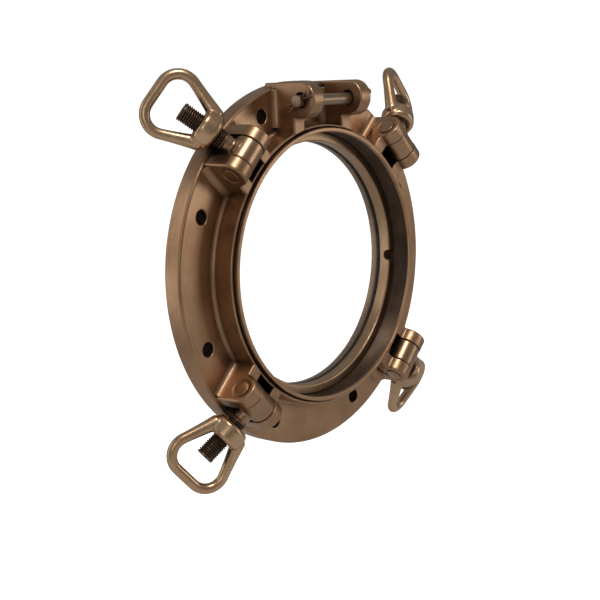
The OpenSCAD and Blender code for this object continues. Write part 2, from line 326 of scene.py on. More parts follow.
@dataclass(frozen=True)
class Thread:
    """A helical vee thread with a flattened crest, in millimetres."""

    pitch: float
    depth: float
    start: float
    end: float
    run_out: float = 1.2
    flat: float = 0.16

    def height(self, angle: float, place: float) -> float:
        """Height of the flank above the root.

        Args:
            angle: angle round the axis, in radians.
            place: distance along the axis.

        Returns:
            From 0 at the root to depth at the crest, and depth outside the thread.
        """
        if not self.start < place < self.end:
            return self.depth
        wave = abs(2 * ((place / self.pitch - angle / TAU) % 1) - 1)
        level = min(max((wave - self.flat / 2) / (1 - 1.5 * self.flat), 0), 1)
        fade = min((place - self.start) / self.run_out, (self.end - place) / self.run_out, 1)
        return self.depth * (1 - fade * (1 - level))

    def places(self, rows: int) -> list[float]:
        """Distances along the axis for a grid with that many rows a turn."""
        count = max(2, round((self.end - self.start) / self.pitch * rows))
        return [self.start + (self.end - self.start) * i / count for i in range(count + 1)]


# ---------------------------------------------------------------- work on mesh objects

class Cut(Enum):
    """How one solid works on another."""

    ADD = "UNION"
    TAKE = "DIFFERENCE"


def settle(piece: bpy.types.Object) -> None:
    """Turns a piece's modifiers into its mesh."""
    graph = bpy.context.evaluated_depsgraph_get()
    mesh = bpy.data.meshes.new_from_object(piece.evaluated_get(graph))
    old, name = piece.data, piece.data.name
    piece.modifiers.clear()
    piece.data = mesh
    bpy.data.meshes.remove(old)
    mesh.name = name


def work(piece: bpy.types.Object, tools: Sequence[Surface], cut: Cut) -> None:
    """Unites solids with a piece, or cuts them out of it.

    Args:
        piece: the object that is changed.
        tools: closed surfaces in the piece's own millimetres.
        cut: what they do.
    """
    helpers = [tool.as_object("tool") for tool in tools]
    for helper in helpers:
        step = piece.modifiers.new("cut", "BOOLEAN")
        step.operation = cut.value
        step.solver = "MANIFOLD"
        step.object = helper
    settle(piece)
    for helper in helpers:
        bpy.data.meshes.remove(helper.data)


def surface_of(piece: bpy.types.Object) -> Surface:
    """Takes an object apart into its surface and removes it."""
    mesh = piece.data
    made = Surface([v.co.copy() for v in mesh.vertices], [tuple(f.vertices) for f in mesh.polygons])
    bpy.data.meshes.remove(mesh)
    return made


def place(piece: bpy.types.Object, matrix: Matrix, sharp: float = 38, flats: bool = True) -> None:
    """Puts a finished mesh in its place and smooths it between its edges.

    Args:
        piece: the object, in millimetres.
        matrix: from its millimetres to the scene.
        sharp: angle in degrees above which an edge stays sharp.
        flats: whether large flats keep their own shading beside small faces.
    """
    mesh = piece.data
    mesh.transform(matrix)
    mesh.shade_smooth()
    mesh.set_sharp_from_angle(angle=math.radians(sharp))
    if flats:
        step = piece.modifiers.new("normals", "WEIGHTED_NORMAL")
        step.keep_sharp = True
        step.weight = 60
        settle(piece)


def register(piece: bpy.types.Object, body: str, slot: str, material: bpy.types.Material,
             *nodes: str) -> None:
    """Ties a piece to the frame and reports it.

    Args:
        piece: the finished object.
        body: name of the body it moves with.
        slot: name of a material slot; not used.
        material: its finish.
        nodes: the solids it stands for.
    """
    piece.data.materials.clear()
    piece.data.materials.append(material)
    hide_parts(*nodes)
    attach(piece, body)
    LOG.info("%s: %d faces on %s", piece.name, len(piece.data.polygons), body)


def shade(piece: bpy.types.Object, matrix: Matrix, material: bpy.types.Material,
          chosen: Callable[[Vector, Vector], bool]) -> None:
    """Gives some of a piece's faces another finish.

    Args:
        piece: the placed piece.
        matrix: from its millimetres to the scene.
        material: the other finish.
        chosen: tells whether a face with that middle and normal, in its millimetres, takes it.
    """
    piece.data.materials.append(material)
    slot = len(piece.data.materials) - 1
    back = matrix.inverted()
    turned = back.to_3x3().normalized()
    for face in piece.data.polygons:
        if chosen(back @ face.center, turned @ face.normal):
            face.material_index = slot


# ---------------------------------------------------------------- finishes

class Board:
    """A material's node tree, with short calls that add nodes and join them."""

    def __init__(self, name: str) -> None:
        """Starts an empty material with one surface shader."""
        self.material = bpy.data.materials.new(name)
        self.material.use_nodes = True
        self.nodes = self.material.node_tree.nodes
        self.links = self.material.node_tree.links
        self.shader = self.nodes["Principled BSDF"]

    def node(self, kind: str, sockets: dict | None = None, **settings) -> bpy.types.Node:
        """Adds a node.

        Args:
            kind: its type, without the ShaderNode prefix.
            sockets: values or sockets for its inputs, by name or number.
            settings: its own settings.

        Returns:
            The node.
        """
        made = self.nodes.new("ShaderNode" + kind)
        for key, value in settings.items():
            setattr(made, key, value)
        for key, value in (sockets or {}).items():
            if isinstance(value, bpy.types.NodeSocket):
                self.links.new(value, made.inputs[key])
            else:
                made.inputs[key].default_value = value
        return made

    def math(self, operation: str, *values: object, clamp: bool = False) -> bpy.types.NodeSocket:
        """One step of arithmetic on numbers and sockets."""
        return self.node("Math", dict(enumerate(values)), operation=operation, use_clamp=clamp).outputs[0]

    def vector(self, operation: str, *values: object, out: int = 0) -> bpy.types.NodeSocket:
        """One step of vector arithmetic."""
        return self.node("VectorMath", dict(enumerate(values)), operation=operation).outputs[out]

    def span(self, value: object, low: float, high: float, to_low: float = 0,
             to_high: float = 1) -> bpy.types.NodeSocket:
        """Maps a value from one span to another and stops at its ends."""
        sockets = {0: value, 1: low, 2: high, 3: to_low, 4: to_high}
        return self.node("MapRange", sockets, clamp=True).outputs[0]

    def mix(self, factor: object, first: object, second: object) -> bpy.types.NodeSocket:
        """Mixes two colours."""
        first = (*first, 1) if isinstance(first, tuple) else first
        second = (*second, 1) if isinstance(second, tuple) else second
        sockets = {0: factor, 6: first, 7: second}
        return self.node("Mix", sockets, data_type="RGBA", clamp_factor=True).outputs[2]

    def noise(self, where: bpy.types.NodeSocket, scale: float, detail: float = 3,
              roughness: float = 0.55) -> bpy.types.NodeSocket:
        """A soft random pattern between 0 and 1."""
        sockets = {"Vector": where, "Scale": scale, "Detail": detail, "Roughness": roughness}
        return self.node("TexNoise", sockets).outputs["Fac"]

    def to_shader(self, name: str, value: object) -> None:
        """Sets or joins one of the surface shader's inputs."""
        if isinstance(value, bpy.types.NodeSocket):
            self.links.new(value, self.shader.inputs[name])
        else:
            self.shader.inputs[name].default_value = value


class Brushing(Enum):
    """Which way the abrasive ran over the metal."""

    ROUND_THE_WINDOW = "round"
    ANY_WAY = "any"


@dataclass(frozen=True)
class BronzeFinish:
    """Brown patinated bronze, rubbed back on its edges and flats, with painted shade and patination darkening
    its recesses. Lengths are in metres.
    """

    name: str
    tone: Rgb = (0.320, 0.186, 0.104)
    rubbed: Rgb = (0.430, 0.262, 0.155)
    # Dark colour of patination and of painted shade in recesses
    patina_and_shade: Rgb = (0.050, 0.035, 0.027)
    worn: Rgb = (0.660, 0.470, 0.300)
    roughness: float = 0.36
    brushing: Brushing = Brushing.ANY_WAY
    streaks: float = 0.32
    grain: float = 0.12
    recess: float = 0.012
    # How strongly recesses take painted shade and patination
    recess_shade_strength: float = 1.1
    wax: float = 0.1
    edge: float = 0.0009
    wear: float = 0.8

    def lines(self, board: Board, where: bpy.types.NodeSocket) -> bpy.types.NodeSocket:
        """Coordinates in which the brush marks run along x and z.

        Args:
            board: the material.
            where: plain coordinates in metres.

        Returns:
            Stretched coordinates for a noise of scale 1.
        """
        if self.brushing is Brushing.ANY_WAY:
            return board.vector("MULTIPLY", where, (420, 420, 140))
        parts = board.node("SeparateXYZ", {0: where}).outputs
        flat = board.node("CombineXYZ", {0: parts[0], 2: parts[2]}).outputs[0]
        radius = board.vector("LENGTH", flat, out=1)
        across = board.math("MULTIPLY", board.math("MULTIPLY_ADD", parts[1], 0.8, radius), 850)
        bearing = board.vector("SCALE", board.vector("NORMALIZE", flat))
        bearing.node.inputs["Scale"].default_value = 5
        return board.vector("ADD", bearing, board.node("CombineXYZ", {1: across}).outputs[0])

    def material(self) -> bpy.types.Material:
        """Builds the finish.

        Returns:
            The material, with its tones, wear, painted shade and patination in recesses, brush marks and
            grain.
        """
        board = Board(self.name)
        where = board.node("TexCoord").outputs["Object"]
        marks = board.noise(self.lines(board, where), 1, detail=4, roughness=0.7)
        cloud = board.noise(where, 26, detail=4)
        speck = board.noise(where, 420, detail=2)
        facing = board.node("NewGeometry").outputs["Normal"]
        rounded = board.node("Bevel", {"Radius": self.edge}, samples=6).outputs[0] if self.edge else facing
        bend = board.math("SUBTRACT", 1, board.vector("DOT_PRODUCT", rounded, facing, out=1))
        open_ = board.node("AmbientOcclusion", {"Distance": self.recess}, samples=6).outputs["AO"]
        shut = board.span(open_, 0.35, 0.95, 1, 0)
        edges = board.math("MULTIPLY", board.span(bend, 0.01, 0.12), board.span(open_, 0.8, 1.0))
        edges = board.math("MULTIPLY", edges, board.span(speck, 0.3, 0.6, 0.5, 1))

        colour = board.mix(board.span(cloud, 0.35, 0.68), self.tone, self.rubbed)
        streak = board.span(marks, 0.3, 0.72, -1, 1)
        darker = board.math("MULTIPLY", streak, self.streaks, clamp=True)
        lighter = board.math("MULTIPLY", streak, -self.streaks, clamp=True)
        colour = board.mix(darker, colour, tuple(0.55 * c for c in self.tone))
        colour = board.mix(lighter, colour, self.rubbed)
        # Painted shade with patination: recesses that ambient occlusion finds turn towards the dark colour
        recess_shade_and_patina = board.math("POWER", shut, 1.3)
        recess_shade_and_patina = board.math("MULTIPLY", recess_shade_and_patina, self.recess_shade_strength, clamp=True)
        recess_shade_and_patina = board.math("MULTIPLY", recess_shade_and_patina, board.span(speck, 0.25, 0.6, 0.8, 1))
        colour = board.mix(recess_shade_and_patina, colour, self.patina_and_shade)
        colour = board.mix(board.math("MULTIPLY", edges, self.wear), colour, self.worn)

        cells = {"Vector": board.vector("MULTIPLY", where, (38, 70, 21)), "Scale": 1}
        cracks = board.node("TexVoronoi", cells, feature="DISTANCE_TO_EDGE").outputs[0]
        scratch = board.math("MULTIPLY", board.span(cracks, 0.0, 0.006, 1, 0),
                             board.span(board.noise(where, 31, detail=1), 0.58, 0.66))
        colour = board.mix(board.math("MULTIPLY", scratch, 0.35), colour, self.worn)

        rough = board.math("MULTIPLY_ADD", marks, 0.16, self.roughness - 0.08)
        rough = board.math("MULTIPLY_ADD", recess_shade_and_patina, 0.22, rough)
        level = board.math("MULTIPLY_ADD", marks, 0.6, board.math("MULTIPLY", speck, 0.25))
        bump = board.node("Bump", {"Strength": self.grain, "Distance": 0.0004, "Height": level})
        if self.edge:
            board.links.new(rounded, bump.inputs["Normal"])
        board.to_shader("Base Color", colour)
        board.to_shader("Roughness", rough)
        board.to_shader("Metallic", 1.0)
        board.to_shader("Coat Weight", self.wax)
        board.to_shader("Coat Roughness", 0.22)
        board.to_shader("Normal", bump.outputs[0])
        return board.material


@dataclass(frozen=True)
class RubberFinish:
    """Black glazing rubber, dusty and matt."""

    name: str = "glazing_rubber"
    tone: Rgb = (0.022, 0.015, 0.010)
    dust: Rgb = (0.060, 0.042, 0.029)

    def material(self) -> bpy.types.Material:
        """Builds the finish."""
        board = Board(self.name)
        where = board.node("TexCoord").outputs["Object"]
        cloud = board.noise(where, 160)
        board.to_shader("Base Color", board.mix(board.span(cloud, 0.45, 0.75), self.tone, self.dust))
        board.to_shader("Roughness", board.span(cloud, 0.2, 0.8, 0.65, 0.85))
        board.to_shader("Specular IOR Level", 0.12)
        bump = board.node("Bump", {"Strength": 0.1, "Distance": 0.0002, "Height": board.noise(where, 900)})
        board.to_shader("Normal", bump.outputs[0])
        return board.material


@dataclass(frozen=True)
class GlassFinish:
    """Clear flat glass, clean, with a faint unevenness."""

    name: str = "clear_glass"
    tint: Rgb = (0.985, 0.985, 0.98)
    opacity: float = 0.045

    def material(self) -> bpy.types.Material:
        """Builds the finish."""
        board = Board(self.name)
        where = board.node("TexCoord").outputs["Object"]
        haze = board.noise(where, 14, detail=2)
        board.to_shader("Base Color", (*self.tint, 1))
        board.to_shader("Roughness", board.span(haze, 0.3, 0.7, 0.02, 0.05))
        board.to_shader("IOR", 1.52)
        board.to_shader("Alpha", self.opacity)
        bump = board.node("Bump", {"Strength": 0.02, "Distance": 0.0003, "Height": haze})
        board.to_shader("Normal", bump.outputs[0])
        return board.material


# ---------------------------------------------------------------- the casting

def is_wall(normal: Vector) -> bool:
    """Tells a face that stands on the back face from one that lies along it."""
    return abs(normal.z) < 0.75


@dataclass
class Casting:
    """The flanged casting with its collar, lugs and wall holes. Lengths are in millimetres."""

    flange_r: float = 183.0
    flange_t: float = 19.5
    flange_round: float = 2.5
    collar_r: float = 140.0
    shoulder_h: float = 44.0
    bead: float = 1.5
    groove_depth: float = 2.2
    foot_fillet: float = 4.0
    lip_r: float = 136.25
    lip_h: float = 48.0
    bore_r: float = 132.5
    clear_r: float = 123.0
    rebate_r: float = 129.6
    seat_h: float = 9.5
    ring_at: float = 13.7
    pivot_r: float = 164.5
    pivot_h: float = 44.0
    lug_r: float = 15.0
    lug_inner_r: float = 138.5
    bridge_h: float = 44.5
    ear_t: float = 13.5
    slot_w: float = 24.3
    pin_d: float = 16.0
    pin_gap: float = 0.04
    spot_d: float = 21.0
    spot_deep: float = 0.6
    hinge_z: float = 164.5
    hinge_h: float = 53.0
    hinge_r: float = 17.48
    hinge_gap: float = 56.0
    hinge_lug_t: float = 15.75
    hinge_foot_h: float = 7.5
    hinge_hole_r: float = 7.0
    hinge_rim: float = 1.8
    screw_r: float = 7.0
    screw_circle_r: float = 162.5
    screw_n: int = 8
    skirt: float = 7.0
    sink: float = 0.02
    segments: int = 256
    thread: Thread = Thread(pitch=1.6, depth=0.55, start=25.2, end=44.3, run_out=0.5)

    def section(self) -> list[Point2]:
        """The turned body's section, as radius and height."""
        back, edge, lip_round = 3.0, 1.2, 0.6
        points = [(self.clear_r + back, 0), (self.flange_r - edge, 0)]
        points += arc((self.flange_r - edge, edge), edge, -90, 0, 3)
        points += arc((self.flange_r - self.flange_round, self.flange_t - self.flange_round),
                      self.flange_round, 0, 90)
        points += arc((self.collar_r + self.foot_fillet, self.flange_t + self.foot_fillet),
                      self.foot_fillet, 270, 180, 7)
        points += arc((self.collar_r - self.bead, self.shoulder_h - self.bead), self.bead, 0, 180, 9)
        groove = self.shoulder_h - self.groove_depth
        points += [(self.collar_r - 2 * self.bead, groove), (self.lip_r, groove)]
        points += arc((self.lip_r - lip_round, self.lip_h - lip_round), lip_round, 0, 90, 3)
        points += arc((self.bore_r + lip_round, self.lip_h - lip_round), lip_round, 90, 180, 3)
        rows = [(self.bore_r, h) for h in self.thread.places(8)]
        points += rows[::-1]
        points += [(self.bore_r, self.ring_at), (self.rebate_r, self.ring_at), (self.rebate_r, self.seat_h)]
        points += arc((self.clear_r + 0.5, self.seat_h - 0.5), 0.5, 90, 180, 2)
        return points + [(self.clear_r, back)]

    def groove(self, angle: float, radius: float, height: float) -> float:
        """Depth of the bore's thread at one point of the body.

        Args:
            angle: angle round the window, in radians.
            radius: radius of the plain section.
            height: height above the back face.

        Returns:
            How far the wall is cut back.
        """
        if abs(radius - self.bore_r) > 0.01:
            return 0.0
        return self.thread.depth - self.thread.height(angle, height)

    def lug_outline(self, at_r: float, at_h: float, end_r: float, foot_h: float) -> list[Point2]:
        """Side view of a lug: radius and height.

        Args:
            at_r: distance of its hole from the window's axis.
            at_h: height of its hole.
            end_r: radius of its rounded end.
            foot_h: height of its foot.

        Returns:
            The counterclockwise outline.
        """
        blend = 2.5
        inner = self.lug_inner_r - 12
        foot_round = 1.5
        rise = self.bridge_h + blend - at_h
        reach = math.sqrt((end_r + blend) ** 2 - rise ** 2)
        meet = math.degrees(math.atan2(rise, -reach)) % 360
        outline = [(inner, foot_h)]
        outline += arc((at_r + end_r - foot_round, foot_h + foot_round), foot_round, -90, 0, 3)
        outline += arc((at_r, at_h), end_r, 0, meet, 22)
        outline += arc((at_r - reach, at_h + rise), blend, meet - 180, -90, 4)[1:]
        return outline + [(inner, self.bridge_h)]

    def skirts(self, side: float, start: float, end: float, way: int) -> Surface:
        """A fillet along the foot of a lug, in the lug's own directions.

        Args:
            side: place of the lug's face across its width.
            start: where the fillet starts, from the window's axis.
            end: where it ends.
            way: which way the fillet spreads, 1 or -1.

        Returns:
            The fillet as a bar along x.
        """
        deep, top = 0.6, self.flange_t + self.skirt - 2 * self.sink
        corner = [(-deep, top), (-deep, self.flange_t - deep), (self.skirt, self.flange_t - deep)]
        bar = prism(corner + arc((self.skirt, top), self.skirt, 270, 180, 6), start, end)
        # The bar's x, y and z become its spread, its height and its run outward
        axes = Matrix(((0, 0, 1, 0), (way, 0, 0, side), (0, 1, 0, 0), (0, 0, 0, 1)))
        return bar.placed(axes)

    def double_lug(self) -> bpy.types.Object:
        """One corner's pair of ears, along x, with their pin holes."""
        outline = self.lug_outline(self.pivot_r, self.pivot_h, self.lug_r, self.flange_t - 4)
        half, inner = self.slot_w / 2 + self.ear_t, self.slot_w / 2
        upright, thin, wide = turn(90, "X"), 0.8, 2.2
        ears = [prism(outline, low, high, *rims).placed(upright)
                for low, high, rims in ((inner, half, (thin, wide)), (-half, -inner, (wide, thin)))]
        made = ears[0].with_(ears[1]).as_object("double_lug")
        reach = self.pivot_r + self.lug_r - 2
        feet = [self.skirts(half - self.sink, self.lug_inner_r, reach, 1),
                self.skirts(-half + self.sink, self.lug_inner_r, reach, -1)]
        work(made, feet, Cut.ADD)
        across = shift(self.pivot_r, 0, self.pivot_h) @ upright
        hole_r, spot_r, over = self.pin_d / 2 + self.pin_gap, self.spot_d / 2, 2.0
        cuts = [rod(hole_r, -half - over, half + over).placed(across)]
        floor, curb = half - self.spot_deep, 0.8
        ring = [(0, floor), (spot_r - curb, floor), (spot_r, half - 0.1), (spot_r + 0.3, half + over),
                (0, half + over)]
        for way in (1, -1):
            cuts.append(lathe([(r, way * h) for r, h in ring], 64).placed(across))
        work(made, cuts, Cut.TAKE)
        return made

    def hinge_lugs(self) -> bpy.types.Object:
        """The pair of hinge lugs, along x, with their loose holes."""
        outline = self.lug_outline(self.hinge_z, self.hinge_h, self.hinge_r, self.hinge_foot_h)
        near, far = self.hinge_gap / 2, self.hinge_gap / 2 + self.hinge_lug_t
        upright = turn(90, "X")
        rim, sides = self.hinge_rim, ((near, far), (-far, -near))
        pair = [prism(outline, low, high, rim, rim).placed(upright) for low, high in sides]
        made = pair[0].with_(pair[1]).as_object("hinge_lugs")
        reach = math.sqrt(self.flange_r ** 2 - far ** 2) - self.flange_round
        feet = [self.skirts(way * side, self.lug_inner_r, reach, spread)
                for way in (1, -1) for side, spread in ((far - self.sink, way), (near + self.sink, -way))]
        work(made, feet, Cut.ADD)
        across = shift(self.hinge_z, 0, self.hinge_h) @ upright
        for low, high in sides:
            work(made, [bore(self.hinge_hole_r, low, high, 0.8).placed(across)], Cut.TAKE)
        return made

    def screw_hole(self) -> Surface:
        """One wall hole with a softened mouth, on z."""
        radius, mouth, over = self.screw_r, 1.2, 1.0
        wall = [(0, -over), (radius, -over)]
        wall += arc((radius + mouth, self.flange_t - mouth), mouth, 180, 90, 4)
        return lathe(wall + [(radius + mouth, self.flange_t + over), (0, self.flange_t + over)], 64)

    def in_hole(self, middle: Vector, normal: Vector) -> bool:
        """Tells the walls of the wall holes, which take a near-black finish as painted shade.

        Args:
            middle: middle of a face, in millimetres on the back face.
            normal: its normal.

        Returns:
            True below the softened mouth of a wall hole.
        """
        radius, step = math.hypot(middle.x, middle.y), TAU / self.screw_n
        angle = (math.atan2(middle.y, middle.x) % step) - step / 2
        off = math.hypot(radius * math.cos(angle) - self.screw_circle_r, radius * math.sin(angle))
        return is_wall(normal) and off < self.screw_r + 0.3 and middle.z < self.flange_t - 0.9

    def takes_painted_shade(self, middle: Vector, normal: Vector) -> bool:
        """Tells which walls take the dark finish: painted shade, laid over darker patination on the bore's
        thread.

        Args:
            middle: middle of a face, in millimetres on the back face.
            normal: its normal.

        Returns:
            True on the bore's thread and between the ears of a lug.
        """
        radius, height = math.hypot(middle.x, middle.y), middle.z
        if not is_wall(normal):
            return False
        if abs(radius - self.bore_r) < 0.9:
            return self.ring_at < height < self.thread.end
        if height > self.flange_t:
            for corner in Corner:
                across = middle.y * math.cos(math.radians(corner.bearing))
                across -= middle.x * math.sin(math.radians(corner.bearing))
                if abs(across) < self.slot_w / 2 + 0.1 and radius > self.collar_r - 1:
                    return True
        return False

    def build(self, material: bpy.types.Material, dark: bpy.types.Material, black_shade: bpy.types.Material) -> None:
        """Unites the body and its lugs, cuts the holes and places the casting.

        Args:
            material: the casting's finish.
            dark: finish of painted shade on the bore's thread and between a lug's ears, over the thread's
                darker patination.
            black_shade: near-black finish that paints shade inside the wall holes.
        """
        above_lugs = 90
        core = rod(self.lug_inner_r, 0, above_lugs, self.segments)
        lugs = []
        pair = surface_of(self.double_lug())
        for corner in Corner:
            lugs.append(pair.placed(turn(corner.bearing, "Z")))
        lugs.append(surface_of(self.hinge_lugs()).placed(turn(90, "Z")))
        rest = lugs[0].with_(*lugs[1:]).as_object("lugs")
        work(rest, [core], Cut.TAKE)
        casting = lathe(self.section(), self.segments, self.groove).as_object("frame_casting")
        work(casting, [surface_of(rest)], Cut.ADD)
        hole = self.screw_hole()
        holes = [hole.placed(turn((i + 0.5) * 360 / self.screw_n, "Z") @ shift(self.screw_circle_r))
                 for i in range(self.screw_n)]
        work(casting, [holes[0].with_(*holes[1:])], Cut.TAKE)
        place(casting, ON_FACE)
        register(casting, "frame", "cast_bronze", material, "main_frame")
        # Painted shade: a dark finish on the bore's thread and between a lug's ears
        shade(casting, ON_FACE, dark, self.takes_painted_shade)
        # Painted shade: a near-black finish inside the wall holes
        shade(casting, ON_FACE, black_shade, self.in_hole)


# ---------------------------------------------------------------- glazing

@dataclass
class Glazing:
    """The pane, its rubber channel and the screwed ring that holds them. Lengths are in millimetres."""

    clear_r: float = 123.0
    bore_r: float = 132.5
    rebate_r: float = 129.6
    seat_h: float = 9.5
    lip_t: float = 0.6
    glass_t: float = 3.0
    bite: float = 5.0
    edge_gap: float = 0.3
    ring_t: float = 12.5
    ring_gap: float = 0.2
    ring_round: float = 1.5
    notch_w: float = 11.0
    notch_depth: float = 7.5
    ring_turn: float = -3.0
    segments: int = 256

    @property
    def glass_at(self) -> float:
        """Height of the glass's back."""
        return self.seat_h + self.lip_t

    @property
    def ring_at(self) -> float:
        """Height of the ring's back."""
        return self.glass_at + self.glass_t + self.lip_t

    def pane(self, material: bpy.types.Material) -> None:
        """The round pane with ground edges."""
        radius, ground = self.clear_r + self.bite - self.edge_gap, 0.4
        low, high = self.glass_at, self.glass_at + self.glass_t
        section = [(0, low), (radius - ground, low), (radius, low + ground), (radius, high - ground),
                   (radius - ground, high), (0, high)]
        pane = lathe(section, 192).as_object("glass_pane_clear")
        place(pane, ON_FACE, sharp=25)
        register(pane, "frame", "glass", material, "glass_pane")

    def channel(self, material: bpy.types.Material) -> None:
        """The rubber channel round the pane's edge."""
        low, high = self.glass_at, self.glass_at + self.glass_t
        half = self.lip_t / 2
        inner, web = self.clear_r, self.clear_r + self.bite
        section = [(self.rebate_r, self.seat_h), (self.rebate_r, self.ring_at)]
        section += arc((inner + half, self.ring_at - half), half, 90, 270, 4)
        section += [(web, high), (web, low)]
        section += arc((inner + half, low - half), half, 90, 270, 4)
        channel = lathe(section, self.segments).as_object("glazing_channel")
        place(channel, ON_FACE)
        register(channel, "frame", "rubber", material, "glazing_gasket")

    def ring(self, material: bpy.types.Material) -> None:
        """The screwed ring with its two spanner notches."""
        low, high = self.ring_at, self.ring_at + self.ring_t
        outer, soft, bevel, rim = self.bore_r - self.ring_gap, self.ring_round, 0.4, 0.8
        section = [(self.clear_r + bevel, low), (outer - bevel, low), (outer, low + bevel)]
        section += arc((outer - rim, high - rim), rim, 0, 90, 3)
        section += arc((self.clear_r + soft, high - soft), soft, 90, 180, 5)
        section += [(self.clear_r, low + bevel)]
        ring = lathe(section, self.segments).as_object("retaining_ring_turned")
        half, mouth, over = self.notch_w / 2, 1, 2
        floor = high - self.notch_depth + half
        outline = arc((0, floor), half, 180, 360, 16)
        outline += arc((half + mouth, high - mouth), mouth, 180, 90, 3)
        outline += [(half + mouth, high + over), (-half - mouth, high + over)]
        outline += arc((-half - mouth, high - mouth), mouth, 90, 0, 3)
        run = Matrix(((0, 0, 1, 0), (1, 0, 0, 0), (0, 1, 0, 0), (0, 0, 0, 1)))
        notch = prism(outline, self.clear_r - 3, self.bore_r + 3).placed(run)
        work(ring, [notch, notch.placed(turn(180, "Z"))], Cut.TAKE)
        place(ring, ON_FACE @ turn(self.ring_turn, "Z"))
        register(ring, "frame", "turned_bronze", material, "retaining_ring")

    def build(self, glass: bpy.types.Material, rubber: bpy.types.Material,
              bronze: bpy.types.Material) -> None:
        """Builds the channel, the pane and the ring.

        Args:
            glass: finish of the pane.
            rubber: finish of the channel.
            bronze: finish of the ring.
        """
        self.channel(rubber)
        self.pane(glass)
        self.ring(bronze)


# ---------------------------------------------------------------- swing bolts and loop nuts

@dataclass
class SwingBolts:
    """The four eye bolts, their pins and their loop nuts. Lengths are in millimetres."""

    pivot_r: float = 164.5
    pivot_h: float = 44.0
    pin_r: float = 8.0
    pin_len: float = 52.9
    eye_r: float = 14.5
    eye_w: float = 23.5
    bore_r: float = 8.08
    neck_r: float = 7.75
    thread_r: float = 9.25
    nut_gap: float = 0.12
    length: float = 70.5
    tip: float = 1.5
    boss_r: float = 17.5
    boss_h: float = 19.0
    boss_foot: float = 3.0
    boss_top: float = 4.5
    rod_r: float = 5.25
    leg_root_r: float = 7.3
    loop_h: float = 48.5
    half_w: float = 29.5
    bend: float = 18.0
    leg_root: float = 15.0
    voxel: float = 0.7
    thread: Thread = Thread(pitch=2.3, depth=1.35, start=23.0, end=69.6, run_out=1.6)

    def at_pivot(self, corner: Corner) -> Matrix:
        """The corner's pivot, with x outward, y along the pin and z out of the wall."""
        return ON_FACE @ turn(corner.bearing, "Z") @ shift(self.pivot_r, 0, self.pivot_h)

    def pin(self) -> Surface:
        """One pin along y with gently domed ends."""
        half, edge, dome = self.pin_len / 2, 0.5, 0.9
        end = [(self.pin_r, half - dome)] + arc((self.pin_r - edge, half - dome), edge, 15, 75, 3)
        end += [(5.0, half - 0.12), (2.5, half - 0.02), (0, half)]
        return lathe(both_ends(end), 64).placed(turn(90, "X"))

    def bolt(self) -> bpy.types.Object:
        """One bolt along x: its eye, plain neck and threaded shank."""
        rim, half, over = 1.3, self.eye_w / 2, 2
        eye = [(0, -half)] + arc((self.eye_r - rim, -half + rim), rim, -90, 0, 4)
        eye += arc((self.eye_r - rim, half - rim), rim, 0, 90, 4) + [(0, half)]
        made = lathe(eye, 96).placed(turn(90, "X")).as_object("bolt")
        flare, root = 3.5, self.eye_r - 2
        neck = [(0, 2), (self.neck_r + flare, 2), (self.neck_r + flare, root)]
        neck += arc((self.neck_r + flare, root + flare), flare, 270, 180, 6)
        crest = self.thread_r - self.neck_r
        neck += [(self.neck_r, self.thread.start - crest)]
        shank = [(self.thread_r, s) for s in self.thread.places(12)]
        end = [(self.thread_r - 0.4, self.length - self.tip + 0.6), (self.thread_r - self.tip, self.length),
               (2.0, self.length), (0, self.length - 0.8)]

        def cut_back(angle: float, radius: float, along: float) -> float:
            """How far the shank lies under its crest."""
            on_shank = abs(radius - self.thread_r) < 0.01
            return self.thread.height(angle, along) - self.thread.depth if on_shank else 0.0

        shaft = lathe(neck + shank + end, 48, cut_back).placed(turn(90, "Y"))
        work(made, [shaft], Cut.ADD)
        work(made, [rod(self.bore_r, -half - over, half + over).placed(turn(90, "X"))], Cut.TAKE)
        return made

    def loop_path(self) -> tuple[list[Vector], list[float]]:
        """Middle of the loop's rod and its radius, from one leg's root round to the other's.

        Returns:
            The points, with x along the bolt, and the radii.
        """
        root = Vector((self.boss_h / 2, self.leg_root, 0))
        bend = Vector((self.boss_h + self.loop_h - self.bend, self.half_w - self.bend, 0))
        span = bend - root
        spread = math.atan2(span.y, span.x) + math.asin(self.bend / span.length)
        foot = bend + self.bend * Vector((-math.sin(spread), math.cos(spread), 0))
        steps, path, radii = 22, [], []
        for i in range(steps):
            t = i / steps
            path.append(root.lerp(foot, t))
            radii.append(self.rod_r + (self.leg_root_r - self.rod_r) * (1 - t) ** 1.5)
        for x, y in arc((bend.x, bend.y), self.bend, 90 + math.degrees(spread), 0, 20):
            path.append(Vector((x, y, 0)))
            radii.append(self.rod_r)
        back = [Vector((p.x, -p.y, 0)) for p in path[::-1]]
        return path + back, radii + radii[::-1]

    def nut(self) -> bpy.types.Object:
        """One loop nut along x, with its boss blended into the loop's legs and its bore cut through."""
        foot, top = self.boss_foot, self.boss_top
        boss = [(0, 0), (self.boss_r - foot - 0.4, 0), (self.boss_r - foot + 0.3, 0.4),
                (self.boss_r - 0.4, foot - 0.3), (self.boss_r, foot + 0.5)]
        boss += arc((self.boss_r - top, self.boss_h - top), top, 0, 90, 6) + [(0, self.boss_h)]
        solid = lathe(boss, 96).placed(turn(90, "Y")).with_(tube(*self.loop_path(), sides=28))
        made = solid.as_object("nut")
        step = made.modifiers.new("blend", "REMESH")
        step.mode, step.voxel_size, step.use_smooth_shade = "VOXEL", self.voxel, True
        soften = made.modifiers.new("soften", "SMOOTH")
        soften.factor, soften.iterations = 0.5, 20
        settle(made)
        work(made, [bore(self.thread_r + self.nut_gap, 0, self.boss_h, 1.0).placed(turn(90, "Y"))], Cut.TAKE)
        return made

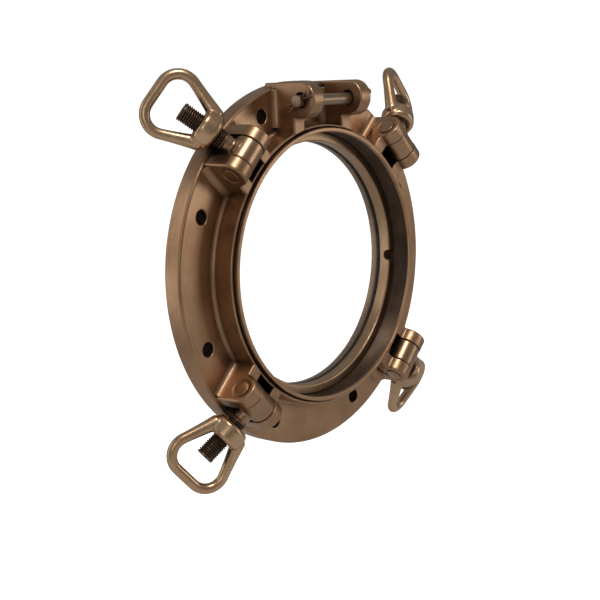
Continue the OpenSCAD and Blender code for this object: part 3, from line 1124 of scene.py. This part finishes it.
    def build(self, pins: bpy.types.Material, bolts: bpy.types.Material, dark: bpy.types.Material,
              nuts: bpy.types.Material) -> None:
        """Builds a pin, a bolt and a nut, and sets each at the four corners.

        Args:
            pins: finish of the pivot pins.
            bolts: finish of the bolts.
            dark: finish of their threads.
            nuts: finish of the loop nuts.
        """
        pin, bolt, nut = self.pin(), surface_of(self.bolt()), surface_of(self.nut())
        for corner in Corner:
            pivot = self.at_pivot(corner)
            on_bolt = pivot @ turn(corner.tilt, "Y")
            on_nut = on_bolt @ shift(corner.nut_at) @ turn(corner.nut_turn, "X")
            made = pin.as_object("pin_" + corner.label)
            place(made, pivot)
            register(made, "frame", "pin_bronze", pins, "pivot_pin_" + corner.label)
            made = bolt.as_object("eye_bolt_" + corner.label)
            place(made, on_bolt)
            register(made, "bolt_" + corner.label, "bolt_bronze", bolts, "swing_bolt_" + corner.label)
            shade(made, on_bolt, dark, lambda middle, _: middle.x > self.thread.start - 0.5)
            made = nut.as_object("nut_with_loop_" + corner.label)
            place(made, on_nut, sharp=50, flats=False)
            register(made, "nut_" + corner.label, "nut_bronze", nuts, "loop_nut_" + corner.label)


# ---------------------------------------------------------------- hinge pin

@dataclass
class HingePin:
    """The loose hinge pin and the two split cotters that keep it. Lengths are in millimetres."""

    pin_z: float = 163.65
    pin_h: float = 53.0
    pin_r: float = 6.0
    pin_len: float = 101.5
    cotter_at: float = 47.25
    cotter_lean: float = 28.0
    wire_r: float = 0.9
    hole_r: float = 1.95
    eye_len: float = 9.0
    eye_r: float = 2.5
    leg_len: float = 8.0
    leg_spread: float = 15.0

    def at_pin(self) -> Matrix:
        """The pin's middle, with x along it."""
        return ON_FACE @ shift(0, self.pin_z, self.pin_h)

    def at_cotter(self, side: int) -> Matrix:
        """One cotter's middle, with its eye on z."""
        return shift(side * self.cotter_at) @ turn(-self.cotter_lean, "X")

    def cotter(self) -> Surface:
        """One split cotter in the yz plane: a long eye, a shank through the pin and two spread legs."""
        reach, wire = self.pin_r, self.wire_r
        lean = math.radians(self.leg_spread)
        leg = (wire + self.leg_len * math.sin(lean), -reach - 0.6 - self.leg_len * math.cos(lean))
        top = reach + self.eye_len - self.eye_r
        diagonal = self.eye_r * 0.72
        half = [leg, (wire + 0.5, -reach - 2.2), (wire, -reach + 0.4), (wire, reach - 0.6),
                (wire + 0.3, reach + 0.8), (self.eye_r * 0.85, top - 2.0), (self.eye_r, top),
                (diagonal, top + diagonal)]
        keys = [Vector((0, y, z)) for y, z in half] + [Vector((0, 0, top + self.eye_r))]
        keys += [Vector((0, -y, z)) for y, z in half[::-1]]
        path = spline(keys, 6)
        return tube(path, [wire] * len(path), 12)

    def build(self, bronze: bpy.types.Material, wire: bpy.types.Material) -> None:
        """Builds the pin and both cotters.

        Args:
            bronze: finish of the pin.
            wire: finish of the cotters.
        """
        half, edge = self.pin_len / 2, 0.9
        end = [(self.pin_r, half - edge)]
        end += arc((self.pin_r - edge, half - edge), edge, 20, 90, 3) + [(0, half)]
        pin = lathe(both_ends(end), 64).placed(turn(90, "Y")).as_object("hinge_pin_loose")
        over = self.pin_r + 2
        hole = rod(self.hole_r, -over, over, 24)
        work(pin, [hole.placed(self.at_cotter(side)) for side in (-1, 1)], Cut.TAKE)
        place(pin, self.at_pin())
        register(pin, "hinge_pin", "pin_bronze", bronze, "hinge_pin")
        for side, label in ((-1, "left"), (1, "right")):
            cotter = self.cotter().as_object("split_cotter_" + label)
            place(cotter, self.at_pin() @ self.at_cotter(side), sharp=60)
            register(cotter, "hinge_pin", "cotter_wire", wire, "hinge_cotter_" + label)


# ---------------------------------------------------------------- studio

@dataclass(frozen=True)
class Softbox:
    """One soft rectangular lamp: where it stands, its size in metres and its power in watts."""

    name: str
    at: tuple[float, float, float]
    size: tuple[float, float]
    power: float
    colour: Rgb = (1.0, 0.98, 0.95)

    def build(self) -> None:
        """Adds the lamp, aimed at the window."""
        lamp = bpy.data.lights.new(self.name, "AREA")
        lamp.shape = "RECTANGLE"
        lamp.size, lamp.size_y = self.size
        lamp.energy = self.power
        lamp.color = self.colour
        made = bpy.data.objects.new(self.name, lamp)
        bpy.context.scene.collection.objects.link(made)
        made.location = self.at
        made.rotation_euler = (-Vector(self.at)).to_track_quat("-Z", "Y").to_euler()


@dataclass
class Studio:
    """The pale floor, the soft light and the camera. Lengths are in metres."""

    azimuth: float = 48.53
    elevation: float = 7.79
    distance: float = 1.36753
    aim: tuple[float, float] = (0.00293, -0.03871)
    roll: float = -2.31
    lens: float = 80.267
    floor_z: float = -0.62
    floor_size: float = 60.0
    boxes: tuple[Softbox, ...] = (
        Softbox("key_softbox", (-0.7, -1.0, 2.1), (0.8, 0.55), 24),
        Softbox("side_softbox", (1.6, -1.9, 0.35), (0.8, 1.2), 7.5),
        Softbox("back_softbox", (-1.5, 1.6, 0.9), (1.1, 1.3), 4.5),
        Softbox("left_softbox", (-1.7, 1.5, -0.3), (0.5, 1.0), 3),
        Softbox("front_softbox", (-2.0, -0.9, 0.5), (1.0, 1.0), 4),
    )

    def camera(self) -> None:
        """Sets the camera at its viewing angle."""
        az, el, roll = (math.radians(v) for v in (self.azimuth, self.elevation, self.roll))
        away = Vector((-math.sin(az) * math.cos(el), -math.cos(az) * math.cos(el), math.sin(el)))
        centre = away * self.distance
        upright = Vector((0, 0, 1))
        right = (-away).cross(upright).normalized()
        target = right * self.aim[0] + right.cross(-away) * self.aim[1]
        ahead = (target - centre).normalized()
        right = ahead.cross(upright).normalized()
        up = right.cross(ahead)
        tilted = right * math.cos(roll) + up * math.sin(roll)
        up = up * math.cos(roll) - right * math.sin(roll)
        data = bpy.data.cameras.new("camera")
        data.lens, data.sensor_width = self.lens, 36
        made = bpy.data.objects.new("camera", data)
        bpy.context.scene.collection.objects.link(made)
        rows = [(tilted[i], up[i], -ahead[i], centre[i]) for i in range(3)]
        made.matrix_world = Matrix((*rows, (0, 0, 0, 1)))
        bpy.context.scene.camera = made

    def floor(self) -> None:
        """Lays the pale floor well below the window."""
        half, thick = self.floor_size / 2, 0.02
        corners = [(-half, -half), (half, -half), (half, half), (-half, half)]
        floor = prism(corners, -thick, 0).placed(shift(z=self.floor_z)).as_object("floor")
        board = Board("pale_floor")
        where = board.node("TexCoord").outputs["Object"]
        tones = (0.74, 0.74, 0.735), (0.77, 0.77, 0.765)
        board.to_shader("Base Color", board.mix(board.noise(where, 2), *tones))
        board.to_shader("Roughness", 0.9)
        board.to_shader("Emission Color", (1, 1, 1, 1))
        board.to_shader("Emission Strength", board.node("LightPath").outputs[0])
        floor.data.materials.append(board.material)

    def sky(self) -> None:
        """Surrounds the studio with a white backdrop that is dimmer where the metal reflects it."""
        world = bpy.data.worlds.new("studio")
        world.use_nodes = True
        bpy.context.scene.world = world
        nodes, links = world.node_tree.nodes, world.node_tree.links
        seen = nodes["Background"]
        seen.inputs[0].default_value = (1, 1, 1, 1)
        seen.inputs[1].default_value = 1.02
        dim = nodes.new("ShaderNodeBackground")
        ramp = nodes.new("ShaderNodeValToRGB")
        stops = ((0.0, 0.05), (0.42, 0.08), (0.56, 0.22), (1.0, 0.34))
        for i, (at, level) in enumerate(stops):
            stop = ramp.color_ramp.elements[i] if i < 2 else ramp.color_ramp.elements.new(at)
            stop.position = at
            stop.color = (level, level * 0.985, level * 0.96, 1)
        parts = nodes.new("ShaderNodeSeparateXYZ")
        half = nodes.new("ShaderNodeMath")
        half.operation = "MULTIPLY_ADD"
        half.inputs[1].default_value = half.inputs[2].default_value = 0.5
        links.new(nodes.new("ShaderNodeTexCoord").outputs["Generated"], parts.inputs[0])
        links.new(parts.outputs[2], half.inputs[0])
        links.new(half.outputs[0], ramp.inputs[0])
        links.new(ramp.outputs[0], dim.inputs[0])
        both = nodes.new("ShaderNodeMixShader")
        links.new(nodes.new("ShaderNodeLightPath").outputs["Is Camera Ray"], both.inputs[0])
        links.new(dim.outputs[0], both.inputs[1])
        links.new(seen.outputs[0], both.inputs[2])
        links.new(both.outputs[0], nodes["World Output"].inputs[0])

    def build(self) -> None:
        """Builds the floor, the sky, the lamps and the camera."""
        bpy.context.scene.view_settings.view_transform = "Standard"
        self.floor()
        self.sky()
        for box in self.boxes:
            box.build()
        self.camera()


def main() -> None:
    """Builds each sub-assembly in order, then the studio."""
    logging.basicConfig(level=logging.INFO, format="%(name)s: %(message)s")
    cast = BronzeFinish("cast_bronze", brushing=Brushing.ROUND_THE_WINDOW)
    # Dark finish that paints shade on the bore's thread and between a lug's ears
    walls = BronzeFinish("painted_shade_bronze", tone=(0.060, 0.040, 0.030), rubbed=(0.130, 0.085, 0.055),
                         worn=(0.34, 0.22, 0.14), brushing=Brushing.ROUND_THE_WINDOW, roughness=0.42,
                         wax=0.05, recess=0.004, edge=0.0003)
    # Near-black finish that paints shade inside the wall holes
    black_shade = BronzeFinish("hole_black_shade", tone=(0.020, 0.014, 0.011), rubbed=(0.030, 0.021, 0.016), streaks=0.0,
                        roughness=0.6, wax=0.0, wear=0.0, edge=0)
    turned = BronzeFinish("turned_bronze", tone=(0.36, 0.225, 0.130), rubbed=(0.46, 0.31, 0.19),
                          brushing=Brushing.ROUND_THE_WINDOW, roughness=0.34, grain=0.08,
                          recess_shade_strength=0.25)
    nuts = BronzeFinish("nut_bronze", tone=(0.460, 0.292, 0.168), rubbed=(0.59, 0.395, 0.245), roughness=0.30,
                        streaks=0.12, grain=0.02, recess=0.008, recess_shade_strength=0.7, wear=0.0, edge=0)
    bolts = BronzeFinish("bolt_bronze", tone=(0.31, 0.190, 0.115), roughness=0.30)
    threads = BronzeFinish("thread_bronze", tone=(0.120, 0.078, 0.055), rubbed=(0.20, 0.13, 0.09),
                           worn=(0.36, 0.25, 0.17), recess=0.0022, roughness=0.36, edge=0.0002)
    pins = BronzeFinish("pin_bronze", tone=(0.28, 0.170, 0.105), roughness=0.32)
    wire = BronzeFinish("cotter_wire", tone=(0.16, 0.10, 0.07), recess=0.004, roughness=0.4, edge=0.0003)
    Casting().build(cast.material(), walls.material(), black_shade.material())
    Glazing().build(GlassFinish().material(), RubberFinish().material(), turned.material())
    SwingBolts().build(pins.material(), bolts.material(), threads.material(), nuts.material())
    # The frame's own plain material holds this name, so the loose pin wears that and not the pins' finish
    HingePin().build(bpy.data.materials["pin_bronze"], wire.material())
    Studio().build()


if __name__ == "__main__":
    main()
